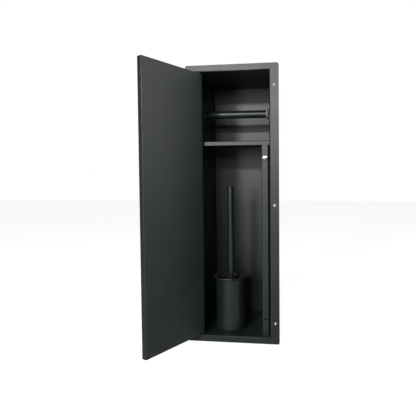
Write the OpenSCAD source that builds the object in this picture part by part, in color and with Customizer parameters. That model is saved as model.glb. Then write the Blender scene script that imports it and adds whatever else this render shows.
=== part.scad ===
// Recessed bathroom niche: a folded steel box with a screw flange, a pivoting door that closes flush,
// a shelf, a latch post, an open-ended roll bar, and a toilet brush in its cup.
// Frame: +Z up, -Y towards the room, +Y into the wall. The wall's surface is the plane y = 0,
// and the origin is the centre of the screw holes in the flange.

/* [Flange] */
// Width of the flange on the left and right of the opening
flange_side = 22.75; // [20:0.25:30]
// Height of the flange above and below the opening
flange_end = 16; // [14:0.5:30]
// Thickness of the flange sheet
flange_t = 1.5; // [1:0.1:2]
// Radius of the flange's four outer corners
flange_corner_r = 5; // [1:0.5:8]
// Outer radius of the rolled edge round the opening
edge_r = 4; // [3:0.5:5]
// How far the return lip reaches behind the wall's surface
lip_depth = 12; // [10:0.5:16]
// Diameter of each screw hole
hole_d = 6.3; // [4.5:0.1:8]
// Distance of the hole columns from the flange's outer edge
hole_inset = 11; // [9:0.5:13]
// Distance of the end holes from the flange's ends
hole_end = 50; // [30:1:80]

/* [Box] */
// Clear width of the opening and of the box behind it
opening_w = 177.5; // [172:0.5:181]
// Clear height of the opening and of the box behind it
opening_h = 626; // [616:1:632]
// Depth from the wall's surface to the inside of the back
box_depth = 180.5; // [165:0.5:220]
// Thickness of the box's sheet
wall_t = 1.5; // [1:0.1:2]
// Inside radius of the two folds at the back
back_bend_r = 2; // [1:0.5:4]

/* [Door] */
// Gap between the closed door and the opening, all round
door_gap = 2.7; // [2.2:0.1:3.2]
// Thickness of the door
door_t = 12.7; // [12:0.1:14]
// Thickness of the door's tray sheet
tray_t = 1.2; // [0.8:0.1:1.5]
// Outer radius of the tray's long folds
tray_bend_r = 2.6; // [1.6:0.1:3]
// Thickness of the door's front panel
front_panel_t = 1.5; // [1:0.1:2]
// Gap between the front panel and the tray's rim
panel_gap = 0.3; // [0.2:0.1:0.6]
// Angle to which the door stands open
door_open = 117; // [90:1:120]
// Distance of the pivot from the door's hinge edge
pivot_inset = 5.55; // [5.3:0.05:6.5]
// Distance of the pivot behind the door's front
pivot_depth = 4.8; // [4.4:0.1:5.5]
// Diameter of each pivot pin
pin_d = 4; // [3:0.1:4.2]
// Length of pin that is held in the door
pin_hold_l = 16; // [10:1:20]

/* [Pivot bushes] */
// Outer diameter of a bush
bush_d = 6; // [5.6:0.1:6.4]
// Thickness of a bush's closed end
bush_end_t = 0.8; // [0.6:0.1:1.2]
// Diameter of a bush's collar
bush_collar_d = 8; // [7:0.5:9]
// Thickness of a bush's collar
bush_collar_t = 1; // [0.6:0.1:1.4]
// Size of the plate that stiffens the sheet round a pivot
bracket_w = 22; // [18:1:30]

/* [Shelf] */
// Height of the roll compartment, from the ceiling to the shelf
roll_space_h = 161; // [150:1:200]
// Thickness of the shelf's sheet
shelf_t = 1.5; // [1:0.1:2]
// Height of the shelf's front lip
shelf_lip_h = 10; // [8:0.5:14]
// Gap between the closed door and the shelf's lip
stop_gap = 2.3; // [2:0.1:4]
// Height of the shelf's side tabs
shelf_tab_h = 12; // [10:1:16]
// Distance of the tabs from the lip and from the back
shelf_tab_inset = 18; // [14:1:24]
// Diameter of a rivet's shank
rivet_d = 3.2; // [2.4:0.1:4]

/* [Latch post] */
// Width of the post
post_w = 16.4; // [14.4:0.1:18]
// Depth of the post
post_depth = 20; // [16:1:28]
// Thickness of the post's sheet
post_t = 1.5; // [1:0.1:1.6]
// Outer radius of the post's folds
post_bend_r = 2; // [1.7:0.1:3]
// Gap between the post and the right wall
post_wall_gap = 4.1; // [3:0.1:8]
// Height of the relief slot above the floor
slot_up = 36; // [30:1:80]
// Height of the relief slot itself
slot_h = 2.4; // [1:0.1:3]
// Distance of the slot's closed end from the post's left side
slot_inset = 4; // [3:0.5:8]
// Diameter of the foot screw
foot_screw_d = 4; // [3:0.5:5]

/* [Latch] */
// Distance of the latch below the top of the shelf
latch_drop = 40; // [32:1:80]
// How far the plunger stands out of the post
plunger_out = 12.5; // [10:0.1:13]
// Diameter of the plunger
plunger_d = 8; // [6:0.1:8.2]
// Length of the plunger
plunger_l = 38; // [34:1:40]
// Outer diameter of the latch's barrel
barrel_d = 11; // [10.4:0.1:11.1]
// Length of the barrel behind the post's face
barrel_l = 44; // [42:1:56]
// Diameter of the barrel's front collar
collar_d = 13.5; // [12.5:0.1:14]
// Thickness of the barrel's front collar
collar_t = 1.5; // [1:0.1:1.8]
// Height of the clip that holds the barrel in the post
clip_h = 18; // [15:1:24]

/* [Roll bar] */
// Outer diameter of the roll bar
bar_d = 20; // [16:0.5:24]
// Wall of the roll bar's tube
bar_wall = 1.5; // [1:0.1:2]
// Distance of the roll bar below the ceiling
bar_drop = 86; // [70:1:100]
// Distance of the roll bar behind the wall's surface
bar_setback = 89.5; // [80:0.5:100]
// Gap between the end disc and the right wall
bar_end_gap = 14; // [14:0.25:24]
// Diameter of the end disc
end_disc_d = 29; // [25:0.5:36]
// Thickness of the end disc
end_disc_t = 3; // [2:0.5:5]
// Diameter of the stud that carries the bar
stud_d = 12; // [10:0.5:12.5]
// Length of the stud inside the bar
stud_l = 14; // [12:0.5:14]
// Diameter of the screw that holds the stud
stud_screw_d = 5; // [4:0.5:6]
// Length of the bushing beyond the stud
bushing_grip = 10; // [6:1:20]

/* [Brush cup] */
// Height of the cup's collar above the floor
cup_h = 132; // [122:1:155]
// Outer diameter of the cup
cup_d = 75.6; // [72:0.2:80]
// Wall of the cup
cup_wall = 1.5; // [1:0.1:2.5]
// Outer diameter of the flared collar on the cup
rim_d = 90.4; // [84:0.2:94]
// Height of the flared collar
rim_h = 9; // [5:0.5:12]
// Thickness of the collar
rim_t = 1.8; // [1.2:0.1:2.5]
// Wall of the plastic liner
liner_wall = 1.6; // [1:0.1:2.5]
// Clearance between the liner and the cup
liner_gap = 0.2; // [0.1:0.05:0.5]
// Height of the liner's floor above the niche's floor
liner_up = 27; // [10:1:34]
// Thickness of the foot ring
foot_ring_t = 1.5; // [1:0.1:3]
// Width of the foot ring
foot_ring_w = 8; // [5:0.5:12]
// Distance of the cup's axis left of the centre line
cup_left = 17.3; // [5:0.1:24]
// Gap between the closed door and the collar
cup_front_gap = 0.8; // [0.8:0.1:8]

/* [Brush] */
// Diameter of the handle
handle_d = 16.2; // [14:0.1:18]
// Wall of the handle's tube
handle_wall = 1.2; // [0.8:0.1:2]
// Height of the handle's top above the niche's floor
handle_top_up = 356; // [320:1:362]
// Height of the handle's cap
handle_cap_h = 3; // [2:0.5:5]
// Length of the cap's plug inside the handle
cap_grip = 10; // [6:1:16]
// Diameter of the brush's core
core_d = 12; // [10:0.5:13]
// Diameter of the bristle head
head_d = 62; // [50:1:64]
// Height of the bristle head above the liner's floor
head_up = 4; // [3:0.5:12]
// Distance of the head's top below the collar's top
head_drop = 12; // [9:1:16]
// Columns of bristles round the core
strand_cols = 18; // [18:1:20]
// Rows of bristles along the core
strand_rows = 17; // [17:1:20]
// Thickness of a bristle where it leaves the core
strand_w = 1.4; // [1.2:0.1:1.6]
// Thickness of a bristle at its tip
strand_tip_w = 0.9; // [0.6:0.1:1.2]

/* [Hidden] */
$fn = 64;

// Running clearance on a radius, and the play left where one piece is only set into another
run_fit = 0.05;
set_fit = 0.05;
// How far a cut runs past the face that it opens
past = 1;

BLACK = [0.1, 0.1, 0.105];
CHROME = [0.82, 0.83, 0.85];
STEEL = [0.6, 0.6, 0.62];
ZINC = [0.7, 0.71, 0.7];
DARK_PLASTIC = [0.14, 0.14, 0.15];
RUBBER = [0.07, 0.07, 0.07];
BOARD = [0.55, 0.53, 0.5];

// Inside faces of the box, and the flange round them
half_w = opening_w / 2;
half_h = opening_h / 2;
floor_z = -half_h;
flange_w = opening_w + 2 * flange_side;
flange_h = opening_h + 2 * flange_end;
hole_span_x = flange_w - 2 * hole_inset;
hole_pitch_z = flange_h / 2 - hole_end;
// Room-side face of the flange, and depth at which the rolled edge becomes the lip
front_y = -flange_t;
lip_y = edge_r - flange_t;

// Door in its closed place
door_half_w = half_w - door_gap;
door_half_h = half_h - door_gap;
door_back_y = front_y + door_t;
core_y = front_y + front_panel_t;
core_t = door_t - front_panel_t - tray_t;
pivot_x = -door_half_w + pivot_inset;
pivot_y = front_y + pivot_depth;
pin_r = pin_d / 2;
block_w = pivot_inset - tray_t + pin_r + 4;
block_h = pin_hold_l + 4;
pin_end_play = 0.5;

// The plates that stiffen the pivots stay inside the rolled edge's outline, so the flange lies flat
sheet_t = max(flange_t, wall_t);
bracket_t = edge_r - sheet_t - 2 * set_fit;
bush_h = sheet_t + bracket_t;

// Shelf and latch post stand just behind the closed door
stop_y = door_back_y + stop_gap;
shelf_top = half_h - roll_space_h;
shelf_under = shelf_top - shelf_t;
tab_front = stop_y + shelf_tab_inset;
tab_back = box_depth - shelf_tab_inset;
rivet_inset = 20;
rivet_head_r = rivet_d;
rivet_head_t = 1.2;
rivet_tail_r = 0.75 * rivet_d;
rivet_tail_t = 2;
shelf_bend_r = shelf_t + 0.5;
post_right = half_w - post_wall_gap;
post_x = post_right - post_w / 2;
post_top = shelf_top - shelf_lip_h;
post_back = stop_y + post_depth;
foot_y = stop_y + post_depth * 0.6;
foot_head_r = foot_screw_d * 0.85;
foot_head_t = foot_screw_d * 0.6;
foot_nut_r = foot_screw_d;
foot_nut_t = foot_screw_d * 0.8;

// Latch, along +Y
latch_z = shelf_top - latch_drop;
tip_y = stop_y - plunger_out;
plunger_r = plunger_d / 2;
shoulder_r = plunger_r + 0.5;
step_y = stop_y + 5;
shoulder_y = step_y + 1.5;
cap_plug_l = 2;
magnet_r = plunger_r - 1;
magnet_t = 3;
spring_r = shoulder_r - 1;
spring_wire_r = 0.45;
spring_turns = 5;
spring_steps = 12;
spring_sides = 6;

// Roll bar, along +X
bar_r = bar_d / 2;
bar_z = half_h - bar_drop;
stud_flange_t = 2;
stud_flange_r = bar_r - 0.2;
stud_r = stud_d / 2;
stud_face = -half_w + stud_flange_t;
stud_tip = stud_face + stud_l;
bar_start = stud_face + 0.3;
bar_end = half_w - bar_end_gap - end_disc_t;
bushing_l = stud_l + bushing_grip;
end_plug_l = 12;
stud_magnet_r = stud_r - 1.5;
stud_magnet_t = 3;
stud_screw_l = stud_l + stud_flange_t - stud_magnet_t - 2;

// Cup and brush stand on one axis
rim_r = rim_d / 2;
cup_r = cup_d / 2;
cup_x = -cup_left;
cup_y = door_back_y + cup_front_gap + rim_r;
rim_z = floor_z + cup_h;
cup_base_z = floor_z + foot_ring_t;
liner_r = cup_r - cup_wall - liner_gap;
liner_floor_z = floor_z + liner_up;
handle_top_z = floor_z + handle_top_up;
handle_r = handle_d / 2;
core_r = core_d / 2;
head_r = head_d / 2;
head_top = rim_z - head_drop;
head_l = head_top - liner_floor_z - head_up;
ferrule_r = handle_r + 1;
ferrule_h = 10;
sleeve_t = 1.2;

// A block given by two opposite corners
module block(from, to) {
  translate(from) cube(to - from);
}

// A round bar from a point along +Y, and one along +X
module rod_y(at, r, l) {
  translate(at) rotate([-90, 0, 0]) cylinder(r = r, h = l);
}

module rod_x(at, r, l) {
  translate(at) rotate([0, 90, 0]) cylinder(r = r, h = l);
}

module rod_z(at, r, l) {
  translate(at) cylinder(r = r, h = l);
}

// A rectangle about the origin with round corners
module rounded_rect(w, h, r) {
  square([w - 2 * r, h], center = true);
  square([w, h - 2 * r], center = true);
  for (x = [-1, 1], y = [-1, 1])
    translate([x * (w / 2 - r), y * (h / 2 - r)]) circle(r);
}

// A rectangle from y0 to y1 whose two corners at y1 are round
module round_backed(w, y0, y1, r) {
  translate([-w, y0]) square([2 * w, y1 - y0 - r]);
  translate([-w + r, y0]) square([2 * (w - r), y1 - y0]);
  for (x = [-1, 1])
    translate([x * (w - r), y1 - r]) circle(r);
}

// One side of the rolled edge, mitred at both ends; it stands at x = gap and is 2 * len long
module rolled_side(gap, len) {
  intersection() {
    translate([gap + edge_r, lip_y, -len - edge_r])
      linear_extrude(2 * (len + edge_r))
        intersection() {
          difference() {
            circle(edge_r);
            circle(edge_r - flange_t);
          }
          translate([-edge_r, -edge_r]) square(edge_r);
        }
    translate([0, edge_r, 0]) rotate([90, 0, 0])
      linear_extrude(3 * edge_r)
        polygon([[gap, -len], [gap + edge_r, -len - edge_r], [gap + edge_r, len + edge_r], [gap, len]]);
  }
}

module flange_plate() {
  rotate([90, 0, 0])
    linear_extrude(flange_t)
      difference() {
        rounded_rect(flange_w, flange_h, flange_corner_r);
        square([opening_w + 2 * edge_r, opening_h + 2 * edge_r], center = true);
      }
}

module return_lip() {
  difference() {
    block([-half_w - flange_t, lip_y, -half_h - flange_t], [half_w + flange_t, lip_depth, half_h + flange_t]);
    block([-half_w, lip_y - past, -half_h], [half_w, lip_depth + past, half_h]);
  }
}

// The two holes through the sheet in which the pivot bushes sit
module bush_holes() {
  rod_z([pivot_x, pivot_y, -half_h - bush_h - past], bush_d / 2 + set_fit, bush_h + 2 * past);
  rod_z([pivot_x, pivot_y, half_h - past], bush_d / 2 + set_fit, bush_h + 2 * past);
}

module front_frame() {
  color(BLACK)
    difference() {
      union() {
        flange_plate();
        return_lip();
        rolled_side(half_w, half_h);
        rotate([0, 180, 0]) rolled_side(half_w, half_h);
        rotate([0, 90, 0]) rolled_side(half_h, half_w);
        rotate([0, -90, 0]) rolled_side(half_h, half_w);
      }
      for (x = [-1, 1], z = [-1, 0, 1])
        rod_y([x * hole_span_x / 2, front_y - past, z * hole_pitch_z], hole_d / 2, flange_t + 2 * past);
      bush_holes();
    }
}

module box_outline() {
  round_backed(half_w + wall_t, lip_depth, box_depth + wall_t, back_bend_r + wall_t);
}

// Where the rivets cross a side wall: side is -1 or 1
module rivet_holes(r) {
  for (side = [-1, 1], y = [tab_front + rivet_inset, tab_back - rivet_inset])
    rod_x([side * half_w - wall_t - shelf_t, y, shelf_under - shelf_tab_h / 2], r, 2 * (wall_t + shelf_t));
}

module side_wrap() {
  color(BLACK)
    difference() {
      translate([0, 0, -half_h])
        linear_extrude(opening_h)
          difference() {
            box_outline();
            round_backed(half_w, lip_depth - past, box_depth, back_bend_r);
          }
      rivet_holes(rivet_d / 2 + set_fit);
      rod_x([-half_w - wall_t - past, bar_setback, bar_z], stud_screw_d / 2 + set_fit, wall_t + 2 * past);
    }
}

module ceiling_panel() {
  color(BLACK)
    translate([0, 0, half_h])
      linear_extrude(wall_t) box_outline();
}

module floor_panel() {
  color(BLACK)
    difference() {
      translate([0, 0, -half_h - wall_t])
        linear_extrude(wall_t) box_outline();
      rod_z([post_x, foot_y, -half_h - wall_t - past], foot_screw_d / 2 + set_fit, wall_t + 2 * past);
    }
}

module shelf_section() {
  translate([stop_y + shelf_bend_r, shelf_under])
    square([box_depth - stop_y - shelf_bend_r, shelf_t]);
  translate([stop_y, post_top])
    square([shelf_t, shelf_lip_h - shelf_bend_r]);
  intersection() {
    translate([stop_y + shelf_bend_r, shelf_top - shelf_bend_r])
      difference() {
        circle(shelf_bend_r);
        circle(shelf_bend_r - shelf_t);
      }
    translate([stop_y, shelf_top - shelf_bend_r]) square(shelf_bend_r);
  }
}

module shelf() {
  color(BLACK)
    difference() {
      union() {
        translate([-half_w, 0, 0])
          rotate([90, 0, 90])
            linear_extrude(opening_w) shelf_section();
        for (side = [0, 1])
          mirror([side, 0, 0])
            block([half_w - shelf_t, tab_front, shelf_under - shelf_tab_h],
                  [half_w, tab_back, shelf_under + shelf_t / 2]);
      }
      for (side = [0, 1])
        mirror([side, 0, 0])
          block([half_w - back_bend_r, box_depth - back_bend_r, shelf_under - past],
                [half_w + past, box_depth + past, shelf_top + past]);
      rivet_holes(rivet_d / 2 + set_fit);
    }
}

// A blind rivet through the right tab and wall; the left ones are its mirror image
module rivet(y) {
  z = shelf_under - shelf_tab_h / 2;
  rod_x([half_w - shelf_t, y, z], rivet_d / 2, shelf_t + wall_t);
  translate([half_w - shelf_t, y, z])
    rotate([0, -90, 0]) cylinder(r1 = rivet_head_r, r2 = rivet_head_r * 0.6, h = rivet_head_t);
  rod_x([half_w + wall_t, y, z], rivet_tail_r, rivet_tail_t);
}

module shelf_rivets() {
  color(BLACK)
    for (side = [0, 1], y = [tab_front + rivet_inset, tab_back - rivet_inset])
      mirror([side, 0, 0]) rivet(y);
}

// Plan of the post: a channel that is open at the back
module post_section() {
  difference() {
    translate([0, stop_y + post_back]) mirror([0, 1])
      round_backed(post_w / 2, stop_y, post_back, post_bend_r);
    translate([-post_w / 2 + post_t, stop_y + post_t])
      square([post_w - 2 * post_t, post_depth]);
  }
}

module latch_post() {
  color(BLACK)
    difference() {
      union() {
        translate([post_x, 0, floor_z])
          linear_extrude(post_top - floor_z) post_section();
        for (side = [-1, 1])
          translate([post_x + side * (post_w - post_t) / 2, 0, 0])
            block([-post_t / 2, stop_y + shelf_t + post_t, post_top - past], [post_t / 2, post_back, shelf_under]);
        translate([post_x, 0, floor_z])
          block([-post_w / 2 + post_t / 2, stop_y + post_t / 2, 0], [post_w / 2 - post_t / 2, post_back, post_t]);
      }
      rod_y([post_x, stop_y - past, latch_z], barrel_d / 2 + set_fit, post_t + 2 * past);
      rod_z([post_x, foot_y, floor_z - past], foot_screw_d / 2 + set_fit, post_t + 2 * past);
      block([post_x - post_w / 2 + slot_inset, stop_y - past, floor_z + slot_up],
            [post_right + past, stop_y + post_bend_r, floor_z + slot_up + slot_h]);
    }
}

module post_foot_screw() {
  color(ZINC)
    translate([post_x, foot_y, 0]) {
      rod_z([0, 0, floor_z - wall_t - foot_nut_t], foot_screw_d / 2, wall_t + foot_nut_t + post_t);
      difference() {
        rod_z([0, 0, floor_z + post_t], foot_head_r, foot_head_t);
        translate([0, 0, floor_z + post_t + foot_head_t * 0.5])
          cylinder(r = foot_head_r * 0.5, h = foot_head_t, $fn = 6);
      }
    }
}

module post_foot_nut() {
  color(ZINC)
    translate([post_x, foot_y, floor_z - wall_t - foot_nut_t])
      difference() {
        cylinder(r = foot_nut_r, h = foot_nut_t, $fn = 6);
        rod_z([0, 0, -past], foot_screw_d / 2, foot_nut_t + 2 * past);
      }
}

// The plate that stiffens the sheet round the upper pivot
module pivot_bracket() {
  difference() {
    block([-half_w, lip_y, half_h + sheet_t],
          [-half_w + bracket_w, lip_y + bracket_w, half_h + sheet_t + bracket_t]);
    rod_z([pivot_x, pivot_y, half_h], bush_d / 2 + set_fit, bush_h + bracket_t + past);
  }
}

module top_pivot_bracket() {
  color(BLACK) pivot_bracket();
}

module bottom_pivot_bracket() {
  color(BLACK) mirror([0, 0, 1]) pivot_bracket();
}

// The upper bush: a collar under the sheet, and a blind bore for the pin
module pivot_bush() {
  translate([pivot_x, pivot_y, half_h])
    difference() {
      union() {
        rod_z([0, 0, -bush_collar_t], bush_collar_d / 2, bush_collar_t);
        rod_z([0, 0, 0], bush_d / 2, bush_h);
      }
      rod_z([0, 0, -bush_collar_t - past], pin_r + run_fit, bush_collar_t + past + bush_h - bush_end_t);
    }
}

module top_pivot_bush() {
  color(DARK_PLASTIC) pivot_bush();
}

module bottom_pivot_bush() {
  color(DARK_PLASTIC) mirror([0, 0, 1]) pivot_bush();
}

module pivot_washer() {
  color(DARK_PLASTIC)
    translate([pivot_x, pivot_y, -half_h + bush_collar_t])
      difference() {
        cylinder(d = bush_collar_d, h = door_gap - bush_collar_t);
        rod_z([0, 0, -past], pin_r + run_fit, door_gap + 2 * past);
      }
}

module latch_barrel() {
  color(CHROME)
    translate([post_x, 0, latch_z])
      difference() {
        union() {
          translate([0, stop_y - collar_t, 0])
            rotate([-90, 0, 0]) cylinder(d1 = collar_d - 1, d2 = collar_d, h = collar_t);
          rod_y([0, stop_y - collar_t / 2, 0], barrel_d / 2, barrel_l + collar_t / 2);
        }
        rod_y([0, stop_y - collar_t - past, 0], plunger_r + run_fit, collar_t + barrel_l);
        rod_y([0, step_y, 0], shoulder_r + run_fit, barrel_l);
      }
}

// A spring-steel plate behind the post's face that grips the barrel
module latch_clip() {
  clip_w = post_w - 2 * post_t - 2 * set_fit;
  color(STEEL)
    translate([post_x, 0, latch_z])
      difference() {
        block([-clip_w / 2, stop_y + post_t, -clip_h / 2], [clip_w / 2, stop_y + post_t + 1.2, clip_h / 2]);
        rod_y([0, stop_y, 0], barrel_d / 2 + set_fit / 2, post_t + 2 * past);
      }
}

module latch_end_cap() {
  color(DARK_PLASTIC)
    translate([post_x, stop_y + barrel_l, latch_z]) {
      rod_y([0, 0, 0], barrel_d / 2, 2);
      rod_y([0, -cap_plug_l, 0], shoulder_r, cap_plug_l);
    }
}

// The coil between the plunger and the end cap, one closed surface round a helix along +Y
spring_l = stop_y + barrel_l - cap_plug_l - tip_y - plunger_l;
spring_rise = (spring_l - 2 * spring_wire_r) / (spring_turns * spring_steps);
function spring_point(step, side) =
  let (
    a = step * 360 / spring_steps,
    r = spring_r - spring_wire_r + spring_wire_r * cos(side * 360 / spring_sides)
  )
  [r * cos(a), spring_wire_r + step * spring_rise + spring_wire_r * sin(side * 360 / spring_sides), r * sin(a)];

module latch_spring() {
  last = spring_turns * spring_steps;
  color(STEEL)
    translate([post_x, tip_y + plunger_l, latch_z])
      polyhedron(
        points = [for (step = [0 : last], side = [0 : spring_sides - 1]) spring_point(step, side)],
        faces = concat(
          [[for (side = [0 : spring_sides - 1]) side]],
          [[for (side = [spring_sides - 1 : -1 : 0]) last * spring_sides + side]],
          [for (step = [0 : last - 1], side = [0 : spring_sides - 1])
            let (a = step * spring_sides + side, b = step * spring_sides + (side + 1) % spring_sides)
            each [[a, a + spring_sides, b + spring_sides], [a, b + spring_sides, b]]]
        )
      );
}

module latch_plunger() {
  color(CHROME)
    translate([post_x, 0, latch_z])
      difference() {
        union() {
          rod_y([0, tip_y, 0], plunger_r, plunger_l);
          rod_y([0, shoulder_y, 0], shoulder_r, tip_y + plunger_l - shoulder_y);
        }
        rod_y([0, tip_y - past, 0], magnet_r, magnet_t + past);
      }
}

module plunger_magnet() {
  color(STEEL) rod_y([post_x, tip_y, latch_z], magnet_r, magnet_t);
}

module bar_stud() {
  color(STEEL)
    translate([0, bar_setback, bar_z])
      difference() {
        union() {
          rod_x([-half_w, 0, 0], stud_flange_r, stud_flange_t);
          rod_x([-half_w, 0, 0], stud_r, stud_flange_t + stud_l);
        }
        rod_x([-half_w - past, 0, 0], stud_screw_d / 2, stud_screw_l + past);
        rod_x([stud_tip - stud_magnet_t, 0, 0], stud_magnet_r, stud_magnet_t + past);
      }
}

module stud_screw() {
  color(ZINC)
    translate([-half_w - wall_t, bar_setback, bar_z]) {
      rod_x([0, 0, 0], stud_screw_d / 2, wall_t + stud_screw_l);
      difference() {
        rod_x([-stud_screw_d * 0.6, 0, 0], stud_screw_d * 0.95, stud_screw_d * 0.6);
        translate([-stud_screw_d * 0.9, 0, 0])
          rotate([0, 90, 0]) cylinder(r = stud_screw_d * 0.4, h = stud_screw_d * 0.6, $fn = 6);
      }
    }
}

module stud_magnet() {
  color(STEEL) rod_x([stud_tip - stud_magnet_t, bar_setback, bar_z], stud_magnet_r, stud_magnet_t);
}

module roll_bar() {
  color(BLACK)
    translate([0, bar_setback, bar_z])
      difference() {
        rod_x([bar_start, 0, 0], bar_r, bar_end - bar_start);
        rod_x([bar_start - past, 0, 0], bar_r - bar_wall, bar_end - bar_start + 2 * past);
      }
}

// The plastic insert that slides on the stud
module bar_bushing() {
  color(DARK_PLASTIC)
    translate([0, bar_setback, bar_z])
      difference() {
        rod_x([bar_start, 0, 0], bar_r - bar_wall, bushing_l);
        rod_x([bar_start - past, 0, 0], stud_r + run_fit, stud_l + past);
      }
}

module bar_end_disc() {
  color(BLACK)
    translate([bar_end, bar_setback, bar_z]) {
      rod_x([0, 0, 0], end_disc_d / 2, end_disc_t);
      rod_x([-end_plug_l, 0, 0], bar_r - bar_wall, end_plug_l);
    }
}

// Places a door piece, drawn in its closed place, where the open door has it
module as_opened() {
  translate([pivot_x, pivot_y, 0])
    rotate([0, 0, -door_open])
      translate([-pivot_x, -pivot_y, 0]) children();
}

module door_tray() {
  color(BLACK)
    as_opened()
      difference() {
        union() {
          translate([0, 0, -door_half_h])
            linear_extrude(2 * door_half_h)
              difference() {
                round_backed(door_half_w, front_y, door_back_y, tray_bend_r);
                round_backed(door_half_w - tray_t, front_y - past, door_back_y - tray_t, tray_bend_r - tray_t);
              }
          for (side = [0, 1])
            mirror([0, 0, side])
              block([-door_half_w + tray_t, front_y, door_half_h - tray_t],
                    [door_half_w - tray_t, door_back_y - tray_t, door_half_h]);
        }
        rod_z([pivot_x, pivot_y, -door_half_h - past], pin_r + set_fit, tray_t + 2 * past);
        rod_z([pivot_x, pivot_y, door_half_h - tray_t - past], pin_r + set_fit, tray_t + 2 * past);
      }
}

module door_front_panel() {
  w = door_half_w - tray_t - panel_gap;
  h = door_half_h - tray_t - panel_gap;
  color(BLACK)
    as_opened() block([-w, front_y, -h], [w, core_y, h]);
}

// The room inside the tray, less what its small inner radii take
module core_outline() {
  round_backed(door_half_w - tray_t, core_y, core_y + core_t, tray_bend_r - tray_t);
}

// The corner of the core that the upper pivot block fills
module block_space() {
  intersection() {
    translate([0, 0, door_half_h - tray_t - block_h])
      linear_extrude(block_h) core_outline();
    block([-door_half_w, front_y, 0], [-door_half_w + tray_t + block_w, door_back_y, door_half_h]);
  }
}

module door_core() {
  color(BOARD)
    as_opened()
      difference() {
        translate([0, 0, -door_half_h + tray_t])
          linear_extrude(2 * (door_half_h - tray_t)) core_outline();
        for (side = [0, 1])
          mirror([0, 0, side])
            block([-door_half_w, front_y - past, door_half_h - tray_t - block_h],
                  [-door_half_w + tray_t + block_w, door_back_y, door_half_h]);
      }
}

module pivot_block() {
  difference() {
    block_space();
    rod_z([pivot_x, pivot_y, door_half_h - tray_t - pin_hold_l], pin_r, pin_hold_l + past);
  }
}

module top_pivot_block() {
  color(STEEL) as_opened() pivot_block();
}

module bottom_pivot_block() {
  color(STEEL) as_opened() mirror([0, 0, 1]) pivot_block();
}

module pivot_pin() {
  rod_z([pivot_x, pivot_y, door_half_h - tray_t - pin_hold_l], pin_r,
        pin_hold_l + tray_t + door_gap + bush_h - bush_end_t - pin_end_play);
}

module top_pivot_pin() {
  color(STEEL) as_opened() pivot_pin();
}

module bottom_pivot_pin() {
  color(STEEL) as_opened() mirror([0, 0, 1]) pivot_pin();
}

module on_cup_axis() {
  translate([cup_x, cup_y, 0]) children();
}

// The outer cup: a straight drawn shell with a small radius at its base
module cup_shell() {
  base_r = 2 * cup_wall;
  color(BLACK)
    on_cup_axis()
      rotate_extrude($fn = 96)
        difference() {
          union() {
            translate([0, cup_base_z]) square([cup_r - base_r, cup_wall + base_r]);
            translate([cup_r - base_r, cup_base_z + base_r]) intersection() {
              circle(base_r);
              translate([0, -base_r]) square(base_r);
            }
            translate([0, cup_base_z + base_r]) square([cup_r, rim_z - rim_h - cup_base_z - base_r]);
          }
          translate([-past, cup_base_z + cup_wall]) square([cup_r - cup_wall + past, cup_h]);
        }
}

// A line that leaves the cup upright at [r0, z0] and turns outwards to the rim at [r1, z1]
flare_steps = 10;
flare_turn = 75;
function flare(r0, r1, z0, z1) =
  [for (i = [0 : flare_steps])
    let (a = flare_turn * i / flare_steps)
    [r0 + (r1 - r0) * (1 - cos(a)) / (1 - cos(flare_turn)), z0 + (z1 - z0) * sin(a) / sin(flare_turn)]];

function reversed(list) = [for (i = [len(list) - 1 : -1 : 0]) list[i]];

// The liner hangs in the cup by its flared collar
module cup_liner() {
  flare_z = rim_z - rim_h;
  inner_r = liner_r - liner_wall;
  color(DARK_PLASTIC)
    on_cup_axis()
      rotate_extrude($fn = 96)
        polygon(concat(
          [[0, liner_floor_z - liner_wall], [liner_r, liner_floor_z - liner_wall], [liner_r, flare_z]],
          flare(cup_r, rim_r, flare_z, rim_z - rim_t),
          reversed(flare(inner_r, rim_r - rim_t * 0.4, flare_z, rim_z)),
          [[inner_r, liner_floor_z], [0, liner_floor_z]]
        ));
}

module cup_foot_ring() {
  color(RUBBER)
    on_cup_axis()
      difference() {
        rod_z([0, 0, floor_z], cup_r - 3 * cup_wall, foot_ring_t);
        rod_z([0, 0, floor_z - past], cup_r - 3 * cup_wall - foot_ring_w, foot_ring_t + 2 * past);
      }
}

module brush_handle() {
  low = head_top + ferrule_h / 2;
  color(BLACK)
    on_cup_axis()
      difference() {
        rod_z([0, 0, low], handle_r, handle_top_z - handle_cap_h - low);
        rod_z([0, 0, low - past], handle_r - handle_wall, handle_top_z - low + 2 * past);
      }
}

module handle_cap() {
  edge = handle_cap_h / 3;
  color(BLACK)
    on_cup_axis() {
      rod_z([0, 0, handle_top_z - handle_cap_h], handle_r, handle_cap_h - edge);
      translate([0, 0, handle_top_z - edge]) cylinder(r1 = handle_r, r2 = handle_r - edge, h = edge);
      rod_z([0, 0, handle_top_z - handle_cap_h - cap_grip], handle_r - handle_wall, cap_grip);
    }
}

// Joins the handle's tube to the core: a collar, a plug inside the tube and a socket for the core
module brush_ferrule() {
  color(DARK_PLASTIC)
    on_cup_axis()
      difference() {
        union() {
          rod_z([0, 0, head_top], ferrule_r, ferrule_h / 2);
          rod_z([0, 0, head_top + ferrule_h / 2], handle_r - handle_wall, ferrule_h * 1.5);
        }
        rod_z([0, 0, head_top - past], core_r - 1.5, ferrule_h + past);
      }
}

// The core stands on the liner's floor and carries the bristles
module brush_core() {
  color(DARK_PLASTIC)
    on_cup_axis() {
      rod_z([0, 0, liner_floor_z], core_r, head_top - liner_floor_z);
      rod_z([0, 0, head_top], core_r - 1.5, ferrule_h);
    }
}

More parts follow.
